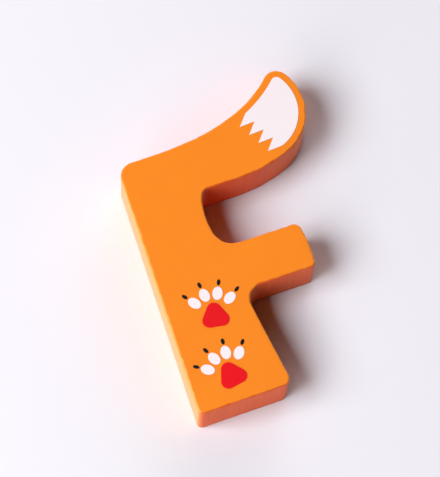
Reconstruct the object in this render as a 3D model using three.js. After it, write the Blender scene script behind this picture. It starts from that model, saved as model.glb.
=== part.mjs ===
// A painted wooden letter F whose top arm is a curled tail, with a trail of paw prints on its stem.
// Millimetres. The letter lies on its back: +X runs to the letter's right, +Y up the letter, and +Z out of
// the printed face. The origin is on the surface under the middle of the letter.

import * as THREE from "three";

// Board
const THICKNESS = 15;
const EDGE_ROUND = 0.6; // radius of the rounded-over edges, front and back

// Stem: heights and reaches are measured from the left end of the foot
const FOOT_WIDTH = 30.5;
const FOOT_LEFT_CORNER = 1.6;
const FOOT_RIGHT_CORNER = 2.6;
const STEM_LEAN = 3.8; // how far the left edge leans to the right by the crown
const STEM_TAPER = 3.5; // how far the right edge leans to the left by the arm's underside

// Middle arm
const ARM_HEIGHT = 33.8; // from the foot to the arm's underside
const ARM_DEPTH = 15.5;
const ARM_REACH = 52;
const ARM_LOW_CORNER = 1.6;
const ARM_HIGH_CORNER = 2.5;
const ARM_END_BOW = 52; // radius of the slightly bowed end
const ARMPIT_RADIUS = 5.5; // inside corner under the arm

// Bite between the arm and the tail
const BITE_REACH = 24.4; // where the stem's waist is cut in deepest
const BITE_HEIGHT = 20.7; // clear height from the arm to the tail
const BITE_BOW = 24;
const BITE_LOW_CORNER = 6.8;
const BITE_HIGH_CORNER = 3.4;

// Tail: its underside runs level, sweeps up, curls and ends in a round tip
const TAIL_DEPTH = 16.6; // at the root, from the underside to the crown
const TAIL_LEVEL = 14.1; // level run of the underside, from the waist
const SWEEP_RADIUS = 50.5;
const SWEEP_TURN = 21.9; // degrees
const CURL_RADIUS = 18.5;
const CURL_TURN = 98; // degrees
const TIP_RADIUS = 4.3;
const TIP_TURN = 104; // degrees

// Back of the tail: one easy curve from the tip down to the crown
const BACK_TIP_PULL = 18.5; // how far the curve leaves along the tip's tangent
const BACK_CROWN_PULL = 17.3; // how far it arrives along the crown
const CROWN_LEVEL = 7.1; // level run of the crown, from its left corner
const CROWN_CORNER = 4.9;

// Print
const INK_FILM = 0.1;
const WHITE_MARGIN = 2.5; // orange border round the white tail tip
const WHITE_BACK_RUN = 15; // length of the white along the tail's back
const WHITE_TEETH = 4;
const TOOTH_DEPTH = 4.8;

// Trail of paw prints up the stem
const TRAIL_MARGIN = 5; // from the foot to the lower paw's heel
const TRAIL_GAP = 4; // from one paw's claws to the next paw's heel
const TRAIL_SWAY = 1.2; // how far each paw lies to its own side of the stem's middle
const TRAIL_TURN = 10; // degrees that each paw turns to its own side
const PAD_REACH = 4.6; // from the pad's middle to its three round points
const PAD_CORNER = 2.3;
const PAD_HEADINGS = [90, 210, 330]; // degrees, from the pad's middle to its points
const TOES = 4;
const TOE_LENGTH = 4.4;
const TOE_WIDTH = 3.2;
const TOE_GAP = 0.9; // from the pad to the toes
const TOE_SPACING = 0.9; // from toe to toe
const CLAW_LENGTH = 2;
const CLAW_WIDTH = 1.1;
const CLAW_GAP = 0.5; // from a toe to its claw

// Facets
const ARC_STEP = 6; // degrees of an arc to one straight facet
const CURVE_STEPS = 20; // facets of a free curve
const EDGE_STEPS = 3; // facets of a rounded edge

// Colours
const ORANGE = 0xff8f29;
const WHITE = 0xfdeef1;
const RED = 0xec1926;
const BLACK = 0x1b1818;

// Roughness
const PAINT_ROUGHNESS = 0.32;
const INK_ROUGHNESS = 0.45;

const radians = THREE.MathUtils.degToRad;
const degrees = THREE.MathUtils.radToDeg;
const point = (x, y) => new THREE.Vector2(x, y);
const heading = (angle) => point(Math.cos(radians(angle)), Math.sin(radians(angle)));

// Points of an arc about a centre, between two directions in degrees, both ends included.
function arcPoints(centre, radius, from, to) {
  const steps = Math.max(1, Math.ceil(Math.abs(to - from) / ARC_STEP));
  return Array.from({ length: steps + 1 }, (_, i) =>
    heading(from + ((to - from) * i) / steps).multiplyScalar(radius).add(centre),
  );
}

// A corner between two straight edges, rounded to a radius.
function roundedCorner(before, corner, after, radius) {
  const toBefore = before.clone().sub(corner).normalize();
  const toAfter = after.clone().sub(corner).normalize();
  const half = Math.acos(toBefore.dot(toAfter)) / 2;
  const bisector = toBefore.clone().add(toAfter).normalize();
  const centre = bisector.multiplyScalar(radius / Math.sin(half)).add(corner);
  const tangent = radius / Math.tan(half);
  const start = toBefore.multiplyScalar(tangent).add(corner).sub(centre);
  const end = toAfter.multiplyScalar(tangent).add(corner).sub(centre);
  const from = degrees(start.angle());
  const turn = degrees(Math.atan2(start.cross(end), start.dot(end)));
  return arcPoints(centre, radius, from, from + turn);
}

// A closed outline from corners, each with its own radius.
function roundedOutline(corners) {
  return corners.flatMap(({ corner, radius }, i) => {
    const before = corners.at(i - 1);
    const after = corners[(i + 1) % corners.length];
    return roundedCorner(before.corner, corner, after.corner, radius);
  });
}

// A bowed end between two level edges, from the lower edge to the upper one. Its corners are rounded into the
// bow. It bulges to the right where side is 1, and to the left where side is -1.
function bowedEnd({ reach, side, low, high, bow, lowCorner, highCorner }) {
  const middle = point(-bow, (low + high) / 2);
  const cornerCentre = (y, radius) =>
    point(middle.x + Math.sqrt((bow - radius) ** 2 - (y - middle.y) ** 2), y);
  const directionOf = (centre) => degrees(Math.atan2(centre.y - middle.y, centre.x - middle.x));
  const lowCentre = cornerCentre(low + lowCorner, lowCorner);
  const highCentre = cornerCentre(high - highCorner, highCorner);
  const lowEnd = directionOf(lowCentre);
  const highEnd = directionOf(highCentre);
  return [
    ...arcPoints(lowCentre, lowCorner, -90, lowEnd),
    ...arcPoints(middle, bow, lowEnd, highEnd).slice(1, -1),
    ...arcPoints(highCentre, highCorner, highEnd, 90),
  ].map((p) => point(reach + side * p.x, p.y));
}

// Heights of the letter's level edges, stacked from the foot
const armTop = ARM_HEIGHT + ARM_DEPTH;
const tailBottom = armTop + BITE_HEIGHT;
const crownHeight = tailBottom + TAIL_DEPTH;

const footLeft = point(0, 0);
const footRight = point(FOOT_WIDTH, 0);
const armpit = point(FOOT_WIDTH - STEM_TAPER, ARM_HEIGHT);
const crownLeft = point(STEM_LEAN, crownHeight);
const crownEnd = point(STEM_LEAN + CROWN_LEVEL, crownHeight);

const stemLeftAt = (y) => (STEM_LEAN * y) / crownHeight;
const stemRightAt = (y) => FOOT_WIDTH - (STEM_TAPER * y) / ARM_HEIGHT;

// The tail's three arcs, each tangent to the one before. A heading of -90 degrees points at the underside.
const sweepStart = -90;
const curlStart = sweepStart + SWEEP_TURN;
const tipStart = curlStart + CURL_TURN;
const tipEnd = tipStart + TIP_TURN;
const sweepCentre = point(BITE_REACH + TAIL_LEVEL, tailBottom + SWEEP_RADIUS);
const curlCentre = heading(curlStart).multiplyScalar(SWEEP_RADIUS - CURL_RADIUS).add(sweepCentre);
const tipCentre = heading(tipStart).multiplyScalar(CURL_RADIUS - TIP_RADIUS).add(curlCentre);

// The tail's curl and tip, moved in from the outline by a margin.
function curlPoints(margin) {
  return [
    ...arcPoints(curlCentre, CURL_RADIUS - margin, curlStart, tipStart),
    ...arcPoints(tipCentre, TIP_RADIUS - margin, tipStart, tipEnd).slice(1),
  ];
}

const backStart = heading(tipEnd).multiplyScalar(TIP_RADIUS).add(tipCentre);
const backDirection = heading(tipEnd + 90);
const tailBack = new THREE.CubicBezierCurve(
  backStart,
  backDirection.clone().multiplyScalar(BACK_TIP_PULL).add(backStart),
  point(crownEnd.x + BACK_CROWN_PULL, crownHeight),
  crownEnd,
);

// The tail's back over a length from the tip, moved in from the outline by a margin.
function tailBackPoints(length, margin) {
  const share = length / tailBack.getLength();
  return Array.from({ length: CURVE_STEPS }, (_, i) => {
    const along = (share * (i + 1)) / CURVE_STEPS;
    const tangent = tailBack.getTangentAt(along);
    const inward = point(-tangent.y, tangent.x);
    return inward.multiplyScalar(margin).add(tailBack.getPointAt(along));
  });
}

function letterOutline() {
  return [
    ...roundedCorner(crownLeft, footLeft, footRight, FOOT_LEFT_CORNER),
    ...roundedCorner(footLeft, footRight, armpit, FOOT_RIGHT_CORNER),
    ...roundedCorner(footRight, armpit, point(ARM_REACH, ARM_HEIGHT), ARMPIT_RADIUS),
    ...bowedEnd({
      reach: ARM_REACH,
      side: 1,
      low: ARM_HEIGHT,
      high: armTop,
      bow: ARM_END_BOW,
      lowCorner: ARM_LOW_CORNER,
      highCorner: ARM_HIGH_CORNER,
    }),
    ...bowedEnd({
      reach: BITE_REACH,
      side: -1,
      low: armTop,
      high: tailBottom,
      bow: BITE_BOW,
      lowCorner: BITE_LOW_CORNER,
      highCorner: BITE_HIGH_CORNER,
    }),
    ...arcPoints(sweepCentre, SWEEP_RADIUS, sweepStart, curlStart).slice(0, -1),
    ...curlPoints(0),
    ...tailBackPoints(tailBack.getLength(), 0),
    ...roundedCorner(crownEnd, crownLeft, footLeft, CROWN_CORNER),
  ];
}

// The white tail tip: the tail's own outline moved in, closed on the stem's side by a row of equal teeth.
function tailTipOutline() {
  const rim = [...curlPoints(WHITE_MARGIN), ...tailBackPoints(WHITE_BACK_RUN, WHITE_MARGIN)];
  const upper = rim.at(-1);
  const across = rim[0].clone().sub(upper);
  const towardsStem = point(across.y, -across.x).setLength(TOOTH_DEPTH);
  const teeth = Array.from({ length: 2 * WHITE_TEETH - 1 }, (_, i) => {
    const root = across.clone().multiplyScalar((i + 1) / (2 * WHITE_TEETH)).add(upper);
    return i % 2 === 0 ? root.add(towardsStem) : root;
  });
  return [...rim, ...teeth];
}

// A paw's pad: an even triangle with round points, one of them towards the toes.
function padOutline() {
  const corners = PAD_HEADINGS.map((direction) => ({
    corner: heading(direction).multiplyScalar(PAD_REACH + PAD_CORNER),
    radius: PAD_CORNER,
  }));
  return roundedOutline(corners);
}

// A toe or a claw, lying along Y.
const ovalOutline = (length, width) =>
  new THREE.EllipseCurve(0, 0, width / 2, length / 2).getPoints(2 * CURVE_STEPS).slice(1);

// Meshes
function piece(name, geometry, color, roughness) {
  const mesh = new THREE.Mesh(geometry, new THREE.MeshStandardMaterial({ color, roughness, metalness: 0 }));
  mesh.name = name;
  return mesh;
}

// A flat patch of ink with its back at height 0.
function inkPatch(name, outline, color) {
  const film = new THREE.ExtrudeGeometry(new THREE.Shape(outline), { depth: INK_FILM, bevelEnabled: false });
  return piece(name, film, color, INK_ROUGHNESS);
}

function letterBody() {
  const board = new THREE.ExtrudeGeometry(new THREE.Shape(letterOutline()), {
    depth: THICKNESS - 2 * EDGE_ROUND,
    bevelThickness: EDGE_ROUND,
    bevelSize: EDGE_ROUND,
    bevelOffset: -EDGE_ROUND,
    bevelSegments: EDGE_STEPS,
  });
  const mesh = piece("letter_body", board, ORANGE, PAINT_ROUGHNESS);
  mesh.position.z = EDGE_ROUND;
  return mesh;
}

// Toes and claws stand in rings round the middle of the pad.
const toeRing = PAD_REACH + TOE_GAP + TOE_LENGTH / 2;
const clawRing = toeRing + (TOE_LENGTH + CLAW_LENGTH) / 2 + CLAW_GAP;
const toeStep = degrees(2 * Math.asin((TOE_WIDTH + TOE_SPACING) / (2 * toeRing)));

// Puts a patch on a ring round the pad, pointing outwards.
function fanned(mesh, ring, direction) {
  const place = heading(direction).multiplyScalar(ring);
  mesh.position.set(place.x, place.y, 0);
  mesh.rotation.z = radians(direction - 90);
  return mesh;
}

// A paw print about the middle of its pad, with its toes and claws counted from the left.
function paw(name) {
  const group = new THREE.Group();
  group.add(inkPatch(`${name}_pad`, padOutline(), RED));
  for (let count = 1; count <= TOES; count += 1) {
    const direction = 90 + toeStep * ((TOES + 1) / 2 - count);
    const toe = inkPatch(`${name}_toe_${count}`, ovalOutline(TOE_LENGTH, TOE_WIDTH), WHITE);
    const claw = inkPatch(`${name}_claw_${count}`, ovalOutline(CLAW_LENGTH, CLAW_WIDTH), BLACK);
    group.add(fanned(toe, toeRing, direction), fanned(claw, clawRing, direction));
  }
  return group;
}

// Two paws, one above the other, each a little to its own side of the stem.
function trail() {
  const heel = (PAD_REACH + PAD_CORNER) / 2;
  const stride = heel + clawRing + CLAW_LENGTH / 2 + TRAIL_GAP;
  const group = new THREE.Group();
  [["lower_paw", -1], ["upper_paw", 1]].forEach(([name, side], i) => {
    const height = TRAIL_MARGIN + heel + i * stride;
    const stemMiddle = (stemLeftAt(height) + stemRightAt(height)) / 2;
    const placed = paw(name);
    placed.position.set(stemMiddle + side * TRAIL_SWAY, height, 0);
    placed.rotation.z = radians(-side * TRAIL_TURN);
    group.add(placed);
  });
  return group;
}

function letter() {
  const body = letterBody();
  const prints = new THREE.Group();
  prints.position.z = THICKNESS;
  prints.add(inkPatch("tail_tip", tailTipOutline(), WHITE), trail());

  // Everything above is measured from the foot's left end; the part's origin is under the letter's middle.
  const middle = new THREE.Box2().setFromPoints(letterOutline()).getCenter(point(0, 0));
  const laidOut = new THREE.Group();
  laidOut.position.set(-middle.x, -middle.y, 0);
  laidOut.add(body, prints);
  return new THREE.Group().add(laidOut);
}

export default letter();
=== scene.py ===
"""Looks of a painted wooden letter F whose top arm is a tail, printed with a white tail tip and two paws.

The board and its ink are built from the same sizes as the solids, in millimetres from the left end of the
letter's foot, and laid over the frame in metres.
"""

import logging
import math
from dataclasses import dataclass, field
from enum import Enum
from typing import Any, Optional

import bpy
from mathutils import Matrix, Vector
from mathutils.geometry import interpolate_bezier


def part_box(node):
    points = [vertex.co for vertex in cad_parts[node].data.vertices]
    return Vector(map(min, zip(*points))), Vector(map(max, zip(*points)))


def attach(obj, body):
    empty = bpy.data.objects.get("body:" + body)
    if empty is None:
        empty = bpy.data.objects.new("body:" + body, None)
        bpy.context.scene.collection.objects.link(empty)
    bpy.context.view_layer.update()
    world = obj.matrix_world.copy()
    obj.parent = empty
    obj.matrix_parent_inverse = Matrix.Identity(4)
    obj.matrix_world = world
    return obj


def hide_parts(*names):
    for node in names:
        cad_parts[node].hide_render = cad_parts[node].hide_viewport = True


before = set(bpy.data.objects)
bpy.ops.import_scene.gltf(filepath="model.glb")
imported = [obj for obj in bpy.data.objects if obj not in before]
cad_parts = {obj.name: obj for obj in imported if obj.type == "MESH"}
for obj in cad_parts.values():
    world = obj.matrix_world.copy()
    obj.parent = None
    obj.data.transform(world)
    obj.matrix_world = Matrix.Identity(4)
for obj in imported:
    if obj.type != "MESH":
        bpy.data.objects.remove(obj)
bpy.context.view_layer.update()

LOG = logging.getLogger("letter")
MM = 0.001  # metres
BODY = "root"

UP = 90.0  # heading in degrees
DOWN = -90.0  # heading in degrees
LEFT_TURN = 90.0  # degrees
FULL_TURN = 360.0  # degrees
QUARTER_TURN = math.pi / 2  # radians

ARC_STEP = 2.0  # degrees between two points of an arc
CURVE_STEPS = 64  # points of a free curve
OVAL_STEPS = 72  # points of an oval
MERGE_DISTANCE = 1e-6  # metres
HALF_STEP = 0.5  # lies safely between two whole numbers

SOFT_DETAIL = 2.0  # finer layers in a soft noise
FINE_DETAIL = 3.0  # finer layers in a crisp noise
GRAIN_SCALE = 900.0  # grain lines in a metre
GRAIN_STRETCH = 0.05  # pattern's scale along the grain
MOTTLE_SCALE = 90.0  # blotches in a metre

Colour = tuple[float, float, float]
Points = list[Vector]
Socket = bpy.types.NodeSocket


class Slot(Enum):
    """The record's material slots."""

    PAINT = "orange_paint"
    WHITE = "white_ink"
    RED = "red_ink"
    BLACK = "black_ink"


class Side(Enum):
    """The side that a paw lies on and turns to, or that a bowed end bulges to."""

    LEFT = -1
    RIGHT = 1


# Outlines

def point(x: float, y: float) -> Vector:
    """A point or a direction in the letter's plane, in millimetres."""
    return Vector((x, y))


def heading(angle: float) -> Vector:
    """The unit direction at an angle in degrees from the letter's right."""
    return point(math.cos(math.radians(angle)), math.sin(math.radians(angle)))


def arc(centre: Vector, radius: float, start: float, end: float) -> Points:
    """Points of an arc, both ends included.

    Args:
        centre: The arc's centre.
        radius: The arc's radius.
        start: The heading of its first point, in degrees.
        end: The heading of its last point, in degrees.

    Returns:
        The arc's points, in order.
    """
    steps = max(1, math.ceil(abs(end - start) / ARC_STEP))
    return [centre + radius * heading(start + (end - start) * i / steps) for i in range(steps + 1)]


def rounded_corner(before: Vector, corner: Vector, after: Vector, radius: float) -> Points:
    """The arc that rounds the corner between two straight edges.

    Args:
        before: A point on the edge that comes in.
        corner: The sharp corner.
        after: A point on the edge that leaves.
        radius: The corner's radius.

    Returns:
        The arc's points, from the first edge to the second.
    """
    to_before = (before - corner).normalized()
    to_after = (after - corner).normalized()
    half = to_before.angle(to_after) / 2
    centre = corner + (to_before + to_after).normalized() * (radius / math.sin(half))
    tangent = radius / math.tan(half)
    start = corner + to_before * tangent - centre
    end = corner + to_after * tangent - centre
    first = math.degrees(math.atan2(start.y, start.x))
    turn = math.degrees(math.atan2(start.cross(end), start.dot(end)))
    return arc(centre, radius, first, first + turn)


def oval(length: float, width: float) -> Points:
    """An oval about the origin, lying along Y."""
    turns = [math.tau * i / OVAL_STEPS for i in range(OVAL_STEPS)]
    return [point(width / 2 * math.cos(turn), length / 2 * math.sin(turn)) for turn in turns]


def placed(points: Points, place: Vector, turn: float) -> Points:
    """Points turned about the origin by an angle in degrees, then moved to a place."""
    spin = Matrix.Rotation(math.radians(turn), 2)
    return [spin @ p + place for p in points]


# Node trees

def add_node(tree: bpy.types.NodeTree, kind: str, inputs: Optional[dict] = None, **settings: Any) -> Any:
    """Adds a node to a tree.

    Args:
        tree: The tree that gets the node.
        kind: The node's type.
        inputs: Values or output sockets for its inputs, by name or number.
        settings: Properties of the node itself.

    Returns:
        The new node.
    """
    node = tree.nodes.new(kind)
    for name, value in settings.items():
        setattr(node, name, value)
    for name, value in (inputs or {}).items():
        if isinstance(value, Socket):
            tree.links.new(value, node.inputs[name])
        else:
            node.inputs[name].default_value = value
    return node


def math_node(tree: bpy.types.NodeTree, operation: str, *values: Any) -> Socket:
    """The output of a Math node on numbers or sockets."""
    return add_node(tree, "ShaderNodeMath", dict(enumerate(values)), operation=operation).outputs[0]


def mix_node(tree: bpy.types.NodeTree, share: Any, first: Any, second: Any, kind: str = "RGBA") -> Socket:
    """The output of a Mix node: first where the share is 0, second where it is 1."""
    inputs = {"Factor": share, "A": first, "B": second}
    return add_node(tree, "ShaderNodeMix", inputs, data_type=kind).outputs["Result"]


def noise_node(tree: bpy.types.NodeTree, scale: Any, detail: float, **place: Socket) -> Socket:
    """The output of a noise of a scale and a detail, about 0.5, on a Vector or on the point's own place."""
    inputs = {"Scale": scale, "Detail": detail, **place}
    return add_node(tree, "ShaderNodeTexNoise", inputs).outputs[0]


def drawn_out(tree: bpy.types.NodeTree, value: Socket, limits: tuple[float, float]) -> Socket:
    """A value whose stretch between two limits is drawn out to run from 0 to 1."""
    inputs = {"Value": value, "From Min": limits[0], "From Max": limits[1]}
    return add_node(tree, "ShaderNodeMapRange", inputs).outputs[0]


def add_socket(tree: bpy.types.NodeTree, name: str, kind: str, is_input: bool = True) -> str:
    """Adds a socket to a tree's interface and gives its identifier."""
    direction = "INPUT" if is_input else "OUTPUT"
    return tree.interface.new_socket(name, in_out=direction, socket_type=kind).identifier


class GeometryTree:
    """A Geometry Nodes tree that turns a closed outline into a solid piece."""

    def __init__(self, name: str, numbers: tuple[str, ...], counts: tuple[str, ...] = ()) -> None:
        """Makes the tree's interface.

        Args:
            name: The tree's name.
            numbers: Names of its inputs that are shares, or lengths in metres.
            counts: Names of its whole-number inputs.
        """
        self.tree = bpy.data.node_groups.new(name, "GeometryNodeTree")
        add_socket(self.tree, "Geometry", "NodeSocketGeometry", is_input=False)
        add_socket(self.tree, "Outline", "NodeSocketGeometry")
        self.identifiers = {n: add_socket(self.tree, n, "NodeSocketFloat") for n in numbers}
        self.identifiers.update({n: add_socket(self.tree, n, "NodeSocketInt") for n in counts})
        self.identifiers["Finish"] = add_socket(self.tree, "Finish", "NodeSocketMaterial")
        self.source = self.tree.nodes.new("NodeGroupInput").outputs

    def add(self, kind: str, inputs: Optional[dict] = None, **settings: Any) -> Any:
        """Adds a node to the tree."""
        return add_node(self.tree, kind, inputs, **settings)

    def math(self, operation: str, *values: Any) -> Socket:
        """The output of a Math node."""
        return math_node(self.tree, operation, *values)

    def lifted(self, geometry: Socket, height: Any) -> Socket:
        """Geometry moved up by a height."""
        shift = self.add("ShaderNodeCombineXYZ", {"Z": height}).outputs[0]
        return self.add("GeometryNodeTransform", {"Geometry": geometry, "Translation": shift}).outputs[0]

    def turned_round(self, mesh: Socket) -> Socket:
        """A mesh whose faces point the other way."""
        return self.add("GeometryNodeFlipFaces", {"Mesh": mesh}).outputs[0]

    def shaded(self, geometry: Socket, smooth: bool) -> Socket:
        """Geometry with smooth or flat shading."""
        inputs = {"Geometry": geometry, "Shade Smooth": smooth}
        return self.add("GeometryNodeSetShadeSmooth", inputs).outputs[0]

    def filled(self, mesh: Socket, edges: Any = True) -> Socket:
        """A flat face on the floor, inside the chosen edges of a mesh."""
        rim = self.add("GeometryNodeMeshToCurve", {"Mesh": mesh, "Selection": edges}).outputs[0]
        return self.add("GeometryNodeFillCurve", {"Curve": rim}).outputs[0]

    def marked(self, geometry: Socket, name: str, value: Socket, kind: str = "FLOAT") -> Socket:
        """Lets points keep a value under a name.

        Args:
            geometry: The geometry that has the points.
            name: The attribute's name.
            value: The value of each point.
            kind: The attribute's type.

        Returns:
            The geometry with the attribute.
        """
        inputs = {"Geometry": geometry, "Name": name}
        store = self.add("GeometryNodeStoreNamedAttribute", inputs, data_type=kind, domain="POINT")
        self.tree.links.new(value, store.inputs["Value"])
        return store.outputs[0]

    def mark(self, name: str, kind: str = "FLOAT") -> Socket:
        """The value that points keep under a name."""
        return self.add("GeometryNodeInputNamedAttribute", {"Name": name}, data_type=kind).outputs[0]

    def close(self, parts: list[Socket]) -> None:
        """Joins the parts into one closed mesh, gives it its finish and ends the tree.

        Args:
            parts: The meshes whose rims meet.
        """
        join = self.add("GeometryNodeJoinGeometry")
        for part in parts:
            self.tree.links.new(part, join.inputs[0])
        joined = {"Geometry": join.outputs[0], "Distance": MERGE_DISTANCE}
        merge = self.add("GeometryNodeMergeByDistance", joined)
        real = self.add("GeometryNodeRealizeInstances", {"Geometry": merge.outputs[0]})
        finish = {"Geometry": real.outputs[0], "Material": self.source["Finish"]}
        dressed = self.add("GeometryNodeSetMaterial", finish)
        self.add("NodeGroupOutput", {"Geometry": dressed.outputs[0]})

    def solid(self, name: str, outline: Points, values: dict[str, Any]) -> bpy.types.Object:
        """Runs the tree on an outline.

        Args:
            name: The new piece's name.
            outline: The closed outline's points, in metres.
            values: The tree's inputs by name.

        Returns:
            A piece with a plain mesh and no modifier.
        """
        count = len(outline)
        ring = bpy.data.meshes.new(name + "_outline")
        ring.from_pydata(outline, [(i, (i + 1) % count) for i in range(count)], [])
        piece = bpy.data.objects.new(name, ring)
        bpy.context.scene.collection.objects.link(piece)
        modifier = piece.modifiers.new("build", "NODES")
        modifier.node_group = self.tree
        for key, value in values.items():
            modifier[self.identifiers[key]] = value
        graph = bpy.context.evaluated_depsgraph_get()
        mesh = bpy.data.meshes.new_from_object(piece.evaluated_get(graph), depsgraph=graph)
        piece.modifiers.remove(modifier)
        piece.data = mesh
        mesh.name = name
        bpy.data.meshes.remove(ring)
        return piece


class RoutedBoard(GeometryTree):
    """A tree that sweeps a wall with rounded edges along an outline and closes it front and back.

    Its inputs are the board's thickness, the edges' radius, the share by which wear changes that radius,
    the length of worn places, and the points on each rounded edge. The mesh keeps five attributes for its
    finish: rounding is 1 in the middle of a rounded edge, wall is 1 on the upright wall, wear is 1 where the
    edges are rounded most, end_grain is 1 on walls that cut across the grain, which runs up the letter, and
    underside is 1 on those of them that face the foot. It keeps three more for the shape of the worn edges:
    inset and rise lead from the sharp corner to a point of the rounded edge, across the wall and up or down,
    and outwards is the direction that the outline faces.

    Attributes:
        WEAR_LIMITS: The stretch of the noise that is drawn out to the whole range of wear.
        MIDDLE_WEAR: The wear at which the edges have their own radius.
    """

    WEAR_LIMITS = (0.3, 0.7)
    MIDDLE_WEAR = 0.5

    def __init__(self) -> None:
        """Builds the tree: the wall and the two flat faces that close it."""
        numbers = ("Thickness", "Edge Radius", "Wear", "Wear Length")
        super().__init__("routed_board", numbers, counts=("Edge Points",))
        self.thickness = self.source["Thickness"]
        self.normal = self.add("GeometryNodeInputNormal").outputs[0]
        wall = self.wall()
        face = self.face(wall)
        self.close([wall, self.lifted(face, self.thickness), self.turned_round(face)])

    def section(self) -> Socket:
        """The wall's section: two quarter rounds, one above the other, in a single line of points.

        Returns:
            A curve that keeps rounding, wall, inset and rise.
        """
        radius = self.source["Edge Radius"]
        points = self.source["Edge Points"]
        index = self.add("GeometryNodeInputIndex").outputs[0]
        upper = self.math("GREATER_THAN", index, self.math("SUBTRACT", points, HALF_STEP))
        step = self.math("DIVIDE", QUARTER_TURN, self.math("SUBTRACT", points, 1))
        turn = self.math("MULTIPLY_ADD", self.math("SUBTRACT", index, upper), step, -QUARTER_TURN)
        upright = self.math("COSINE", turn)
        slope = self.math("SINE", turn)

        inset = self.math("SUBTRACT", self.math("MULTIPLY", radius, upright), radius)
        straight = self.math("MULTIPLY", upper, self.math("MULTIPLY_ADD", radius, -2, self.thickness))
        low_arc = self.math("MULTIPLY_ADD", radius, slope, radius)
        drop = self.math("MULTIPLY", self.math("ADD", straight, low_arc), -1)
        place = self.add("ShaderNodeCombineXYZ", {"X": inset, "Y": drop}).outputs[0]
        row = self.add("GeometryNodeMeshLine", {"Count": self.math("MULTIPLY", points, 2)})
        line = self.add("GeometryNodeMeshToCurve", {"Mesh": row.outputs[0]}).outputs[0]
        section = self.add("GeometryNodeSetPosition", {"Geometry": line, "Position": place}).outputs[0]

        rounding = self.math("ABSOLUTE", self.math("SINE", self.math("MULTIPLY", turn, 2)))
        from_flat = self.math("SUBTRACT", 1, self.math("ABSOLUTE", slope))
        towards_middle = self.math("MULTIPLY_ADD", upper, -2, 1)
        rise = self.math("MULTIPLY", self.math("MULTIPLY", radius, from_flat), towards_middle)
        marks = {"rounding": rounding, "wall": upright, "inset": inset, "rise": rise}
        for name, value in marks.items():
            section = self.marked(section, name, value)
        return section

    def path(self) -> Socket:
        """The outline that the section follows.

        Returns:
            A curve that keeps wear and outwards.
        """
        outline = self.add("GeometryNodeMeshToCurve", {"Mesh": self.source["Outline"]}).outputs[0]
        path = self.add("GeometryNodeSetCurveNormal", {"Curve": outline}, mode="Z_UP").outputs[0]
        scale = self.math("DIVIDE", 1, self.source["Wear Length"])
        wear = drawn_out(self.tree, noise_node(self.tree, scale, SOFT_DETAIL), self.WEAR_LIMITS)
        path = self.marked(path, "wear", wear)
        return self.marked(path, "outwards", self.normal, "FLOAT_VECTOR")

    def worn(self, wall: Socket) -> Socket:
        """Draws the rounded edges out from their sharp corner, or in towards it, by their wear.

        Args:
            wall: A wall whose rounded edges are all alike.

        Returns:
            The wall with worn edges.
        """
        wear = self.math("SUBTRACT", self.mark("wear"), self.MIDDLE_WEAR)
        growth = self.math("MULTIPLY", wear, self.source["Wear"])
        inset = self.math("MULTIPLY", growth, self.mark("inset"))
        rise = self.math("MULTIPLY", growth, self.mark("rise"))
        reach = {0: self.mark("outwards", "FLOAT_VECTOR"), "Scale": inset}
        across = self.add("ShaderNodeVectorMath", reach, operation="SCALE").outputs[0]
        upwards = self.add("ShaderNodeCombineXYZ", {"Z": rise}).outputs[0]
        shift = self.add("ShaderNodeVectorMath", {0: across, 1: upwards}, operation="ADD").outputs[0]
        return self.add("GeometryNodeSetPosition", {"Geometry": wall, "Offset": shift}).outputs[0]

    def wall(self) -> Socket:
        """The wall, swept along the outline with its faces turned outwards.

        Returns:
            A mesh that keeps all the attributes.
        """
        curves = {"Curve": self.path(), "Profile Curve": self.section()}
        swept = self.add("GeometryNodeCurveToMesh", curves).outputs[0]
        wall = self.shaded(self.turned_round(self.worn(swept)), True)
        facing = self.add("ShaderNodeSeparateXYZ", {0: self.normal}).outputs["Y"]
        # underside marks the walls and edges that face the foot, where the finish paints shade on the
        # rounded edges
        underside = self.math("MAXIMUM", self.math("MULTIPLY", facing, -1), 0)
        # end_grain marks the walls across the grain, for their saw marks, roughness and painted shade
        wall = self.marked(wall, "end_grain", self.math("ABSOLUTE", facing))
        return self.marked(wall, "underside", underside)

    def face(self, wall: Socket) -> Socket:
        """The flat face inside the wall's upper rim.

        Args:
            wall: The wall.

        Returns:
            The face, laid on the floor.
        """
        place = self.add("GeometryNodeInputPosition").outputs[0]
        height = self.add("ShaderNodeSeparateXYZ", {0: place}).outputs["Z"]
        above = self.math("GREATER_THAN", height, self.math("DIVIDE", self.thickness, 2))
        neighbours = self.add("GeometryNodeInputMeshEdgeNeighbors").outputs[0]
        alone = self.math("LESS_THAN", neighbours, 1 + HALF_STEP)
        return self.shaded(self.filled(wall, self.math("MULTIPLY", above, alone)), False)


class InkPatch(GeometryTree):
    """A tree that fills an outline, raises it to a thin closed film and lifts it to a height."""

    def __init__(self) -> None:
        """Builds the tree."""
        super().__init__("ink_patch", ("Film", "Height"))
        height = self.source["Height"]
        fill = self.filled(self.source["Outline"])
        film = {"Mesh": fill, "Offset Scale": self.source["Film"], "Individual": False}
        raised = self.add("GeometryNodeExtrudeMesh", film).outputs[0]
        self.close([self.lifted(raised, height), self.lifted(self.turned_round(fill), height)])


# Finishes

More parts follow.
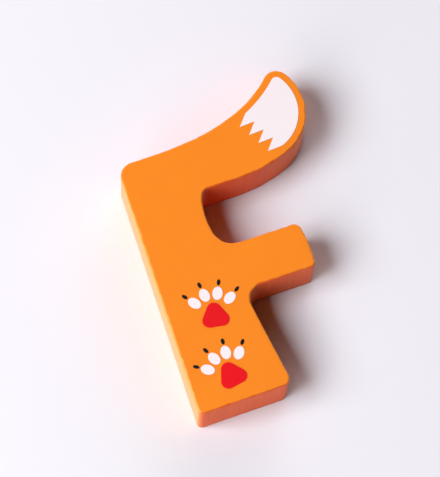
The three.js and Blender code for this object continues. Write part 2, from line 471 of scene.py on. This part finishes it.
def sprayed_surface_group() -> bpy.types.NodeTree:
    """A shader group for what sprayed paint shows on wood: fine peel, raised grain and slow mottling.

    Returns:
        The group. Its inputs are a place on the piece in metres, the peel's size in metres, and the grain's
        share of the height. Its outputs are a height and a mottling, both about 0.5.
    """
    group = bpy.data.node_groups.new("sprayed_surface", "ShaderNodeTree")
    add_socket(group, "Place", "NodeSocketVector")
    add_socket(group, "Peel Size", "NodeSocketFloat")
    add_socket(group, "Grain Share", "NodeSocketFloat")
    add_socket(group, "Height", "NodeSocketFloat", is_input=False)
    add_socket(group, "Mottle", "NodeSocketFloat", is_input=False)
    source = group.nodes.new("NodeGroupInput").outputs
    place = source["Place"]

    peel_scale = math_node(group, "DIVIDE", 1, source["Peel Size"])
    peel = noise_node(group, peel_scale, SOFT_DETAIL, Vector=place)
    # Grain runs up the letter, so its pattern is drawn out along Y
    along = add_node(group, "ShaderNodeMapping", {"Vector": place, "Scale": (1.0, GRAIN_STRETCH, 1.0)})
    grain = noise_node(group, GRAIN_SCALE, FINE_DETAIL, Vector=along.outputs[0])
    mottle = noise_node(group, MOTTLE_SCALE, FINE_DETAIL, Vector=place)
    height = mix_node(group, source["Grain Share"], peel, grain, "FLOAT")
    add_node(group, "NodeGroupOutput", {"Height": height, "Mottle": mottle})
    return group


@dataclass(frozen=True)
class Finish:
    """A sprayed or printed coat, which is printed ink unless its values say otherwise.

    Attributes:
        name: The material's name.
        colour: Its colour, linear.
        shade: Its colour where it lies thick, linear.
        roughness: The roughness of the coat, and how far it varies either way.
        gloss: The weight and the roughness of the clear gloss over it.
        peel: The size of its fine peel, in metres.
        relief: The depth of its surface, in metres.
        grain: The share of the wood's grain in that surface.
    """

    name: str
    colour: Colour
    shade: Colour
    roughness: tuple[float, float] = (0.46, 0.06)
    gloss: tuple[float, float] = (0.1, 0.25)
    peel: float = 0.0006
    relief: float = 0.00002
    grain: float = 0.2

    def material(self, surface: bpy.types.NodeTree) -> bpy.types.Material:
        """Builds the finish.

        Args:
            surface: The shader group for sprayed surfaces.

        Returns:
            A material on Object coordinates.
        """
        material = bpy.data.materials.new(self.name)
        material.use_nodes = True
        tree = material.node_tree
        shader = tree.nodes["Principled BSDF"]
        shader.inputs["Coat Weight"].default_value = self.gloss[0]
        shader.inputs["Coat Roughness"].default_value = self.gloss[1]
        place = add_node(tree, "ShaderNodeTexCoord").outputs["Object"]
        inputs = {"Place": place, "Peel Size": self.peel, "Grain Share": self.grain}
        sprayed = add_node(tree, "ShaderNodeGroup", inputs, node_tree=surface).outputs
        looks = self.looks(tree, place, sprayed)
        bump = add_node(tree, "ShaderNodeBump", {"Height": looks.pop("Height"), "Distance": self.relief})
        tree.links.new(bump.outputs[0], shader.inputs["Normal"])
        for name, value in looks.items():
            tree.links.new(value, shader.inputs[name])
        return material

    def looks(self, tree: bpy.types.NodeTree, place: Socket, sprayed: Any) -> dict[str, Socket]:
        """What changes over the surface.

        Args:
            tree: The material's tree.
            place: The place on the piece, in metres.
            sprayed: The outputs of the group for sprayed surfaces.

        Returns:
            The sockets that feed the shader, by the name of its input, and the height of the relief.
        """
        middle, spread = self.roughness
        return {
            "Base Color": mix_node(tree, sprayed["Mottle"], (*self.colour, 1.0), (*self.shade, 1.0)),
            "Roughness": mix_node(tree, sprayed["Mottle"], middle - spread, middle + spread, "FLOAT"),
            "Height": sprayed["Height"],
        }


@dataclass(frozen=True)
class Lacquer(Finish):
    """Sprayed paint with saw marks on the sawn walls, a painted highlight and painted shade on the walls,
    and a darker red on the rounded edges that face the foot, partly wear and partly painted shade.

    Attributes:
        wall_highlight_colour: A paler, yellower colour on all the walls, a painted highlight, linear.
        end_wall_shade_colour: A darker, redder colour on the walls across the grain, painted shade, linear.
        end_roughness: The roughness of the walls across the grain.
        saw_colour: The colour in the saw marks, linear.
        saw_share: How much of that colour shows in them.
        saw_size: The width of a saw mark, in metres.
        saw_stretch: The scale of the marks' pattern along them.
        saw_limits: The stretch of their noise that is drawn out to the whole height of the relief.
        edge_wear_and_shade_colour: A darker red on the rounded edges that face the foot, partly wear and
            partly painted shade, linear.
        edge_wear_and_shade_share: How much of that colour shows there, where the edges are worn least and
            most.
    """

    roughness: tuple[float, float] = (0.34, 0.05)
    gloss: tuple[float, float] = (0.25, 0.15)
    peel: float = 0.0011
    relief: float = 0.00003
    grain: float = 0.35
    # The walls' paler, yellower colour is a painted highlight
    wall_highlight_colour: Colour = (0.98, 0.33, 0.012)
    # The darker, redder colour on the walls across the grain is painted shade
    end_wall_shade_colour: Colour = (0.89, 0.134, 0.018)
    end_roughness: float = 0.62
    saw_colour: Colour = (0.66, 0.05, 0.002)
    saw_share: float = 0.2
    saw_size: float = 0.0009
    saw_stretch: float = 0.04
    saw_limits: tuple[float, float] = (0.38, 0.66)
    # The darker red on the rounded edges that face the foot is partly wear and partly painted shade
    edge_wear_and_shade_colour: Colour = (0.72, 0.05, 0.002)
    edge_wear_and_shade_share: tuple[float, float] = (0.3, 1.0)

    def looks(self, tree: bpy.types.NodeTree, place: Socket, sprayed: Any) -> dict[str, Socket]:
        """The sprayed face, with sawn walls, a painted highlight and painted shade on the walls, and rounded
        edges that face the foot, darker from wear and painted shade.

        Args:
            tree: The material's tree.
            place: The place on the piece, in metres.
            sprayed: The outputs of the group for sprayed surfaces.

        Returns:
            The sockets that feed the shader, by the name of its input, and the height of the relief.
        """
        looks = super().looks(tree, place, sprayed)
        wall, rounding, wear, end_grain, underside = [
            add_node(tree, "ShaderNodeAttribute", attribute_name=name).outputs["Fac"]
            for name in ("wall", "rounding", "wear", "end_grain", "underside")
        ]
        # Saw marks run through the thickness of the board, so their pattern is drawn out along Z
        stretch = (1.0, 1.0, self.saw_stretch)
        upright = add_node(tree, "ShaderNodeMapping", {"Vector": place, "Scale": stretch}).outputs[0]
        saw_noise = noise_node(tree, 1 / self.saw_size, FINE_DETAIL, Vector=upright)
        sawn = drawn_out(tree, saw_noise, self.saw_limits)
        end = math_node(tree, "MULTIPLY", wall, end_grain)
        marks = math_node(tree, "MULTIPLY", end, math_node(tree, "MULTIPLY", sawn, self.saw_share))
        # Painted shade with wear: a darker red on the rounded edges that face the foot
        rim = math_node(tree, "MULTIPLY", underside, rounding)
        edge_wear_and_shade = math_node(tree, "MULTIPLY", rim, mix_node(tree, wear, *self.edge_wear_and_shade_share, "FLOAT"))
        layers = (
            # Painted highlight: a paler, yellower colour on all the walls
            (wall, self.wall_highlight_colour),
            # Painted shade: a darker, redder colour on the walls across the grain
            (end, self.end_wall_shade_colour),
            (marks, self.saw_colour),
            # Painted shade with wear: a darker red on the rounded edges that face the foot
            (edge_wear_and_shade, self.edge_wear_and_shade_colour),
        )
        for share, colour in layers:
            looks["Base Color"] = mix_node(tree, share, looks["Base Color"], (*colour, 1.0))
        looks["Roughness"] = mix_node(tree, end, looks["Roughness"], self.end_roughness, "FLOAT")
        looks["Coat Weight"] = mix_node(tree, end, self.gloss[0], 0.0, "FLOAT")
        looks["Height"] = mix_node(tree, wall, looks["Height"], sawn, "FLOAT")
        return looks


FINISHES = {
    Slot.PAINT: Lacquer("orange_lacquer", colour=(0.98, 0.272, 0.019), shade=(0.92, 0.242, 0.015)),
    Slot.WHITE: Finish("white_ink", colour=(0.96, 0.87, 0.9), shade=(0.92, 0.82, 0.85)),
    Slot.RED: Finish("red_ink", colour=(0.85, 0.004, 0.01), shade=(0.76, 0.002, 0.006)),
    Slot.BLACK: Finish("black_ink", colour=(0.005, 0.004, 0.004), shade=(0.01, 0.008, 0.008)),
}


# The letter

@dataclass
class Board:
    """The wooden board, sawn to the letter's outline. Sizes in millimetres, turns in degrees.

    Besides its sizes it holds edge_points, the points on each rounded edge, and wear, the share of the
    edges' radius that lies between their least and their most worn places.
    """

    thickness: float = 15.0
    edge_round: float = 0.6
    edge_points: int = 9
    edge_run: float = 0.8
    wear: float = 0.9
    wear_length: float = 3.0
    foot_width: float = 30.5
    foot_left_corner: float = 1.6
    foot_right_corner: float = 2.6
    stem_lean: float = 3.8
    stem_taper: float = 3.5
    arm_height: float = 33.8
    arm_depth: float = 15.5
    arm_reach: float = 52.0
    arm_low_corner: float = 1.6
    arm_high_corner: float = 2.5
    arm_end_bow: float = 52.0
    armpit_radius: float = 5.5
    bite_reach: float = 24.4
    bite_height: float = 20.7
    bite_bow: float = 24.0
    bite_low_corner: float = 6.8
    bite_high_corner: float = 3.4
    tail_depth: float = 16.6
    tail_level: float = 14.1
    sweep_radius: float = 50.5
    sweep_turn: float = 21.9
    curl_radius: float = 18.5
    curl_turn: float = 98.0
    tip_radius: float = 4.3
    tip_turn: float = 104.0
    back_tip_pull: float = 18.5
    back_crown_pull: float = 17.3
    crown_level: float = 7.1
    crown_corner: float = 4.9

    def __post_init__(self) -> None:
        """Works out the heights, the tail's arcs and where the foot's left end lies in the frame."""
        self.arm_top = self.arm_height + self.arm_depth
        self.tail_bottom = self.arm_top + self.bite_height
        self.crown_height = self.tail_bottom + self.tail_depth
        self.curl_start = DOWN + self.sweep_turn
        self.tip_start = self.curl_start + self.curl_turn
        self.tip_end = self.tip_start + self.tip_turn
        self.sweep_centre = point(self.bite_reach + self.tail_level, self.tail_bottom + self.sweep_radius)
        to_curl = self.sweep_radius - self.curl_radius
        self.curl_centre = self.sweep_centre + heading(self.curl_start) * to_curl
        to_tip = self.curl_radius - self.tip_radius
        self.tip_centre = self.curl_centre + heading(self.tip_start) * to_tip
        low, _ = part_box("letter_body")
        outline = self.outline()
        corner = point(min(p.x for p in outline), min(p.y for p in outline))
        self.origin = low.to_2d() / MM - corner

    def stem_middle(self, height: float) -> float:
        """The middle of the stem.

        Args:
            height: A height above the foot.

        Returns:
            How far the middle lies from the foot's left end at that height.
        """
        left = self.stem_lean * height / self.crown_height
        right = self.foot_width - self.stem_taper * height / self.arm_height
        return (left + right) / 2

    def bowed_end(self, reach: float, side: Side, low: tuple[float, float], high: tuple[float, float],
                  bow: float) -> Points:
        """A bowed end between two level edges, with its corners rounded into the bow.

        Args:
            reach: How far the end reaches from the foot's left end.
            side: The side that it bulges to.
            low: The lower edge's height and its corner's radius.
            high: The upper edge's height and its corner's radius.
            bow: The bow's radius.

        Returns:
            The end's points, from the lower edge to the upper one.
        """
        middle = point(-bow, (low[0] + high[0]) / 2)
        ends = []
        for height, radius in ((low[0] + low[1], low[1]), (high[0] - high[1], high[1])):
            run = math.sqrt((bow - radius) ** 2 - (height - middle.y) ** 2)
            ends.append((point(middle.x + run, height), math.degrees(math.atan2(height - middle.y, run))))
        (low_centre, low_end), (high_centre, high_end) = ends
        points = arc(low_centre, low[1], DOWN, low_end)
        points += arc(middle, bow, low_end, high_end)[1:-1]
        points += arc(high_centre, high[1], high_end, UP)
        return [point(reach + side.value * p.x, p.y) for p in points]

    def curl(self, margin: float) -> Points:
        """The tail's curl and tip, moved in from the outline by a margin."""
        curl = arc(self.curl_centre, self.curl_radius - margin, self.curl_start, self.tip_start)
        return curl + arc(self.tip_centre, self.tip_radius - margin, self.tip_start, self.tip_end)[1:]

    def tail_back(self) -> Points:
        """The tail's back, as one free curve.

        Returns:
            Its points, from the tip to the level crown.
        """
        start = self.tip_centre + heading(self.tip_end) * self.tip_radius
        end = point(self.stem_lean + self.crown_level, self.crown_height)
        tip_handle = start + heading(self.tip_end + LEFT_TURN) * self.back_tip_pull
        crown_handle = end + point(self.back_crown_pull, 0)
        return interpolate_bezier(start, tip_handle, crown_handle, end, CURVE_STEPS)

    def outline(self) -> Points:
        """The letter's outline.

        Returns:
            Its points, from the foot's left corner round to the crown.
        """
        foot_left = point(0, 0)
        foot_right = point(self.foot_width, 0)
        armpit = point(self.foot_width - self.stem_taper, self.arm_height)
        arm_end = point(self.arm_reach, self.arm_height)
        crown = point(self.stem_lean, self.crown_height)
        points = rounded_corner(crown, foot_left, foot_right, self.foot_left_corner)
        points += rounded_corner(foot_left, foot_right, armpit, self.foot_right_corner)
        points += rounded_corner(foot_right, armpit, arm_end, self.armpit_radius)
        points += self.bowed_end(self.arm_reach, Side.RIGHT, (self.arm_height, self.arm_low_corner),
                                 (self.arm_top, self.arm_high_corner), self.arm_end_bow)
        points += self.bowed_end(self.bite_reach, Side.LEFT, (self.arm_top, self.bite_low_corner),
                                 (self.tail_bottom, self.bite_high_corner), self.bite_bow)
        points += arc(self.sweep_centre, self.sweep_radius, DOWN, self.curl_start)[:-1]
        points += self.curl(0)
        points += self.tail_back()[1:]
        points += rounded_corner(self.tail_back()[-1], crown, foot_left, self.crown_corner)
        return points

    def rim(self) -> Points:
        """The outline, with its long straight edges cut into runs no longer than edge_run.

        Returns:
            The outline's points and those between the runs.
        """
        points = self.outline()
        rim = []
        for before, after in zip(points, points[1:] + points[:1]):
            runs = math.ceil((after - before).length / self.edge_run)
            rim += [before.lerp(after, i / runs) for i in range(runs)]
        return rim

    def in_frame(self, points: Points) -> Points:
        """Points of the letter's plane in the frame, in metres."""
        return [((p + self.origin) * MM).to_3d() for p in points]

    def build(self, tree: GeometryTree, finish: bpy.types.Material) -> bpy.types.Object:
        """Builds the board in place of its solid.

        Args:
            tree: The tree for routed boards.
            finish: The board's paint.

        Returns:
            The board.
        """
        values = {
            "Thickness": self.thickness * MM,
            "Edge Radius": self.edge_round * MM,
            "Edge Points": self.edge_points,
            "Wear": self.wear,
            "Wear Length": self.wear_length * MM,
            "Finish": finish,
        }
        piece = tree.solid("painted_board", self.in_frame(self.rim()), values)
        return dress(piece, "letter_body")


@dataclass
class Print:
    """The printer's way of laying ink on the board.

    Attributes:
        board: The board that carries the print.
        tree: The tree for ink patches.
        inks: The ink of each slot.
        film: The ink's thickness, in millimetres.
    """

    board: Board
    tree: GeometryTree
    inks: dict[Slot, bpy.types.Material]
    film: float = 0.1

    def patch(self, node: str, outline: Points, slot: Slot) -> bpy.types.Object:
        """Prints one patch in place of its solid.

        Args:
            node: The solid's name.
            outline: The patch's outline, in millimetres from the foot's left end.
            slot: The slot of its ink.

        Returns:
            The patch.
        """
        values = {"Film": self.film * MM, "Height": self.board.thickness * MM, "Finish": self.inks[slot]}
        piece = self.tree.solid("printed_" + node, self.board.in_frame(outline), values)
        return dress(piece, node)


@dataclass
class TailTip:
    """The white end of the tail: the tail's own outline moved in, closed by a row of equal teeth.

    Attributes:
        margin: The width of the orange border round the white, in millimetres.
        back_run: How far the white runs along the tail's back, in millimetres.
        teeth: The number of teeth.
        tooth_depth: Their depth, in millimetres.
    """

    margin: float = 2.5
    back_run: float = 15.0
    teeth: int = 4
    tooth_depth: float = 4.8

    def rim(self, board: Board) -> Points:
        """The white's round side.

        Args:
            board: The board that has the tail.

        Returns:
            Points along the curl, the tip and part of the tail's back.
        """
        rim = board.curl(self.margin)
        back = board.tail_back()
        run = 0.0
        for before, after in zip(back, back[1:]):
            step = after - before
            run += step.length
            if run > self.back_run:
                break
            rim.append(after + point(-step.y, step.x).normalized() * self.margin)
        return rim

    def build(self, ink: Print) -> list[bpy.types.Object]:
        """Prints the tail tip.

        Args:
            ink: The way that ink is laid.

        Returns:
            The one patch of white.
        """
        rim = self.rim(ink.board)
        across = rim[0] - rim[-1]
        to_stem = point(across.y, -across.x).normalized() * self.tooth_depth
        steps = 2 * self.teeth
        roots = [rim[-1] + across * (i / steps) for i in range(1, steps)]
        edge = [root + to_stem if i % 2 == 0 else root for i, root in enumerate(roots)]
        return [ink.patch("tail_tip", rim + edge, Slot.WHITE)]


@dataclass
class Paw:
    """A paw print about the middle of its pad. Sizes in millimetres, turns in degrees."""

    pad_points: int = 3
    pad_reach: float = 4.6
    pad_corner: float = 2.3
    toes: int = 4
    toe_length: float = 4.4
    toe_width: float = 3.2
    toe_gap: float = 0.9
    toe_spacing: float = 0.9
    claw_length: float = 2.0
    claw_width: float = 1.1
    claw_gap: float = 0.5

    def __post_init__(self) -> None:
        """Works out the rings of toes and claws, the turn between two toes, and the paw's heights."""
        self.toe_ring = self.pad_reach + self.toe_gap + self.toe_length / 2
        self.claw_ring = self.toe_ring + (self.toe_length + self.claw_length) / 2 + self.claw_gap
        toe_pitch = self.toe_width + self.toe_spacing
        self.toe_step = math.degrees(2 * math.asin(toe_pitch / (2 * self.toe_ring)))
        self.heel = (self.pad_reach + self.pad_corner) / 2
        self.height = self.heel + self.claw_ring + self.claw_length / 2

    def pad(self) -> Points:
        """The pad: an even triangle with round points, one of them towards the toes.

        Returns:
            The pad's outline.
        """
        turns = [UP + FULL_TURN * i / self.pad_points for i in range(self.pad_points)]
        corners = [heading(turn) * (self.pad_reach + self.pad_corner) for turn in turns]
        befores = corners[-1:] + corners[:-1]
        afters = corners[1:] + corners[:1]
        points = []
        for before, corner, after in zip(befores, corners, afters):
            points += rounded_corner(before, corner, after, self.pad_corner)
        return points

    def patches(self) -> list[tuple[str, Points, Slot]]:
        """The paw's patches.

        Returns:
            The last word of each patch's name, its outline and its ink's slot.
        """
        patches = [("pad", self.pad(), Slot.RED)]
        for count in range(1, self.toes + 1):
            turn = self.toe_step * ((self.toes + 1) / 2 - count)
            out = heading(UP + turn)
            toe = placed(oval(self.toe_length, self.toe_width), out * self.toe_ring, turn)
            claw = placed(oval(self.claw_length, self.claw_width), out * self.claw_ring, turn)
            patches += [(f"toe_{count}", toe, Slot.WHITE), (f"claw_{count}", claw, Slot.BLACK)]
        return patches


@dataclass
class Trail:
    """Two paws up the stem, each a little to its own side. Sizes in millimetres, turns in degrees.

    Attributes:
        margin: The height of the lower paw above the foot.
        gap: The gap between the paws.
        sway: How far each paw lies from the stem's middle.
        turn: How far each paw turns to its side.
        paw: The paw print.
    """

    margin: float = 5.0
    gap: float = 4.0
    sway: float = 1.2
    turn: float = 10.0
    paw: Paw = field(default_factory=Paw)

    def build(self, ink: Print) -> list[bpy.types.Object]:
        """Prints both paws.

        Args:
            ink: The way that ink is laid.

        Returns:
            The patches of both paws.
        """
        pieces = []
        height = self.margin + self.paw.heel
        for name, side in (("lower_paw", Side.LEFT), ("upper_paw", Side.RIGHT)):
            place = point(ink.board.stem_middle(height) + side.value * self.sway, height)
            for word, outline, slot in self.paw.patches():
                outline = placed(outline, place, -side.value * self.turn)
                pieces.append(ink.patch(f"{name}_{word}", outline, slot))
            height += self.paw.height + self.gap
        return pieces


def dress(piece: bpy.types.Object, node: str) -> bpy.types.Object:
    """Lets a piece stand for a solid and ride on the part's body.

    Args:
        piece: The piece.
        node: The solid's name.

    Returns:
        The piece.
    """
    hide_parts(node)
    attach(piece, BODY)
    return piece


# The studio

def direction(azimuth: float, elevation: float) -> Vector:
    """The unit direction at an azimuth from the letter's right and an elevation, in degrees."""
    level = heading(azimuth) * math.cos(math.radians(elevation))
    return Vector((level.x, level.y, math.sin(math.radians(elevation))))


@dataclass(frozen=True)
class Lamp:
    """A square soft lamp that shines at the letter.

    Attributes:
        name: The lamp's name.
        azimuth: Its direction from the letter's right, in degrees.
        elevation: Its height above the floor, in degrees.
        size: The length of its side, in metres.
        power: Its power, in watts.
        colour: Its colour, linear.
        mirrored: Whether glossy surfaces mirror it.
        distance: Its distance, in metres.
    """

    name: str
    azimuth: float
    elevation: float
    size: float
    power: float
    colour: Colour
    mirrored: bool = True
    distance: float = 1.7

    def build(self) -> None:
        """Hangs the lamp."""
        light = bpy.data.lights.new(self.name, "AREA")
        light.size = self.size
        light.energy = self.power
        light.color = self.colour
        lamp = bpy.data.objects.new(self.name, light)
        lamp.location = direction(self.azimuth, self.elevation) * self.distance
        lamp.rotation_euler = lamp.location.to_track_quat("Z", "Y").to_euler()
        lamp.visible_glossy = self.mirrored
        bpy.context.scene.collection.objects.link(lamp)


LAMPS = (
    Lamp("key", 180.0, 45.0, size=1.05, power=35.0, colour=(0.96, 0.99, 1.0)),
    Lamp("front", 215.0, 22.0, size=0.9, power=11.2, colour=(1.0, 0.88, 0.85)),
    Lamp("upper_fill", 68.0, 15.0, size=1.2, power=13.0, colour=(0.98, 1.0, 0.95), mirrored=False),
    Lamp("right_fill", 45.0, 15.0, size=1.2, power=11.0, colour=(1.0, 0.76, 0.9), mirrored=False),
)


@dataclass
class Studio:
    """Plain soft light, a pale floor and the camera. Lengths in metres, turns in degrees, colours linear.

    Attributes:
        board: The board that the camera looks at.
        aim: The point under the middle of the picture, in millimetres from the foot's left end.
        lens: The camera's focal length, in millimetres.
        sensor: The width of its sensor, in millimetres.
    """

    board: Board
    floor_size: float = 6.0
    floor_colour: Colour = (0.84, 0.827, 0.886)
    floor_roughness: float = 0.8
    floor_sheen: float = 0.1
    sky_colour: Colour = (1.0, 0.9, 0.9)
    sky_strength: float = 0.01
    lamps: tuple[Lamp, ...] = LAMPS
    aim: Vector = field(default_factory=lambda: point(28.79, 57.98))
    azimuth: float = 244.62
    elevation: float = 67.36
    distance: float = 0.6562
    roll: float = 5.38
    lens: float = 153.3
    sensor: float = 36.0

    def build(self) -> None:
        """Builds the floor, the light and the camera."""
        self.build_floor()
        self.build_light()
        self.build_camera()
        bpy.context.scene.view_settings.view_transform = "Standard"

    def build_floor(self) -> None:
        """Lays the floor under the letter."""
        half = self.floor_size / 2
        corners = [(-half, -half, 0), (half, -half, 0), (half, half, 0), (-half, half, 0)]
        mesh = bpy.data.meshes.new("floor")
        mesh.from_pydata(corners, [], [(0, 1, 2, 3)])
        floor = bpy.data.objects.new("floor", mesh)
        bpy.context.scene.collection.objects.link(floor)
        material = bpy.data.materials.new("pale_floor")
        material.use_nodes = True
        shader = material.node_tree.nodes["Principled BSDF"]
        shader.inputs["Base Color"].default_value = (*self.floor_colour, 1.0)
        shader.inputs["Roughness"].default_value = self.floor_roughness
        shader.inputs["Specular IOR Level"].default_value = self.floor_sheen
        mesh.materials.append(material)

    def build_light(self) -> None:
        """Sets up an even sky and the lamps."""
        world = bpy.data.worlds.new("studio")
        world.use_nodes = True
        sky = world.node_tree.nodes["Background"]
        sky.inputs["Color"].default_value = (*self.sky_colour, 1.0)
        sky.inputs["Strength"].default_value = self.sky_strength
        bpy.context.scene.world = world
        for lamp in self.lamps:
            lamp.build()

    def build_camera(self) -> None:
        """Puts the camera where the photograph was taken from."""
        back = direction(self.azimuth, self.elevation)
        right = Vector((0, 0, 1)).cross(back).normalized()
        turn = Matrix((right, back.cross(right), back)).transposed()
        camera = bpy.data.cameras.new("camera")
        camera.lens = self.lens
        camera.sensor_width = self.sensor
        eye = bpy.data.objects.new("camera", camera)
        eye.location = self.board.in_frame([self.aim])[0] + back * self.distance
        eye.rotation_euler = (turn @ Matrix.Rotation(math.radians(self.roll), 3, "Z")).to_euler()
        bpy.context.scene.collection.objects.link(eye)
        bpy.context.scene.camera = eye


def main() -> None:
    """Builds the letter and its studio."""
    logging.basicConfig(level=logging.INFO, format="%(name)s: %(message)s")
    surface = sprayed_surface_group()
    finishes = {slot: finish.material(surface) for slot, finish in FINISHES.items()}
    board = Board()
    pieces = [board.build(RoutedBoard(), finishes[Slot.PAINT])]
    ink = Print(board, InkPatch(), finishes)
    pieces += TailTip().build(ink)
    pieces += Trail().build(ink)
    for piece in pieces:
        LOG.info("%s: %d faces", piece.name, len(piece.data.polygons))
    Studio(board).build()


if __name__ == "__main__":
    main()
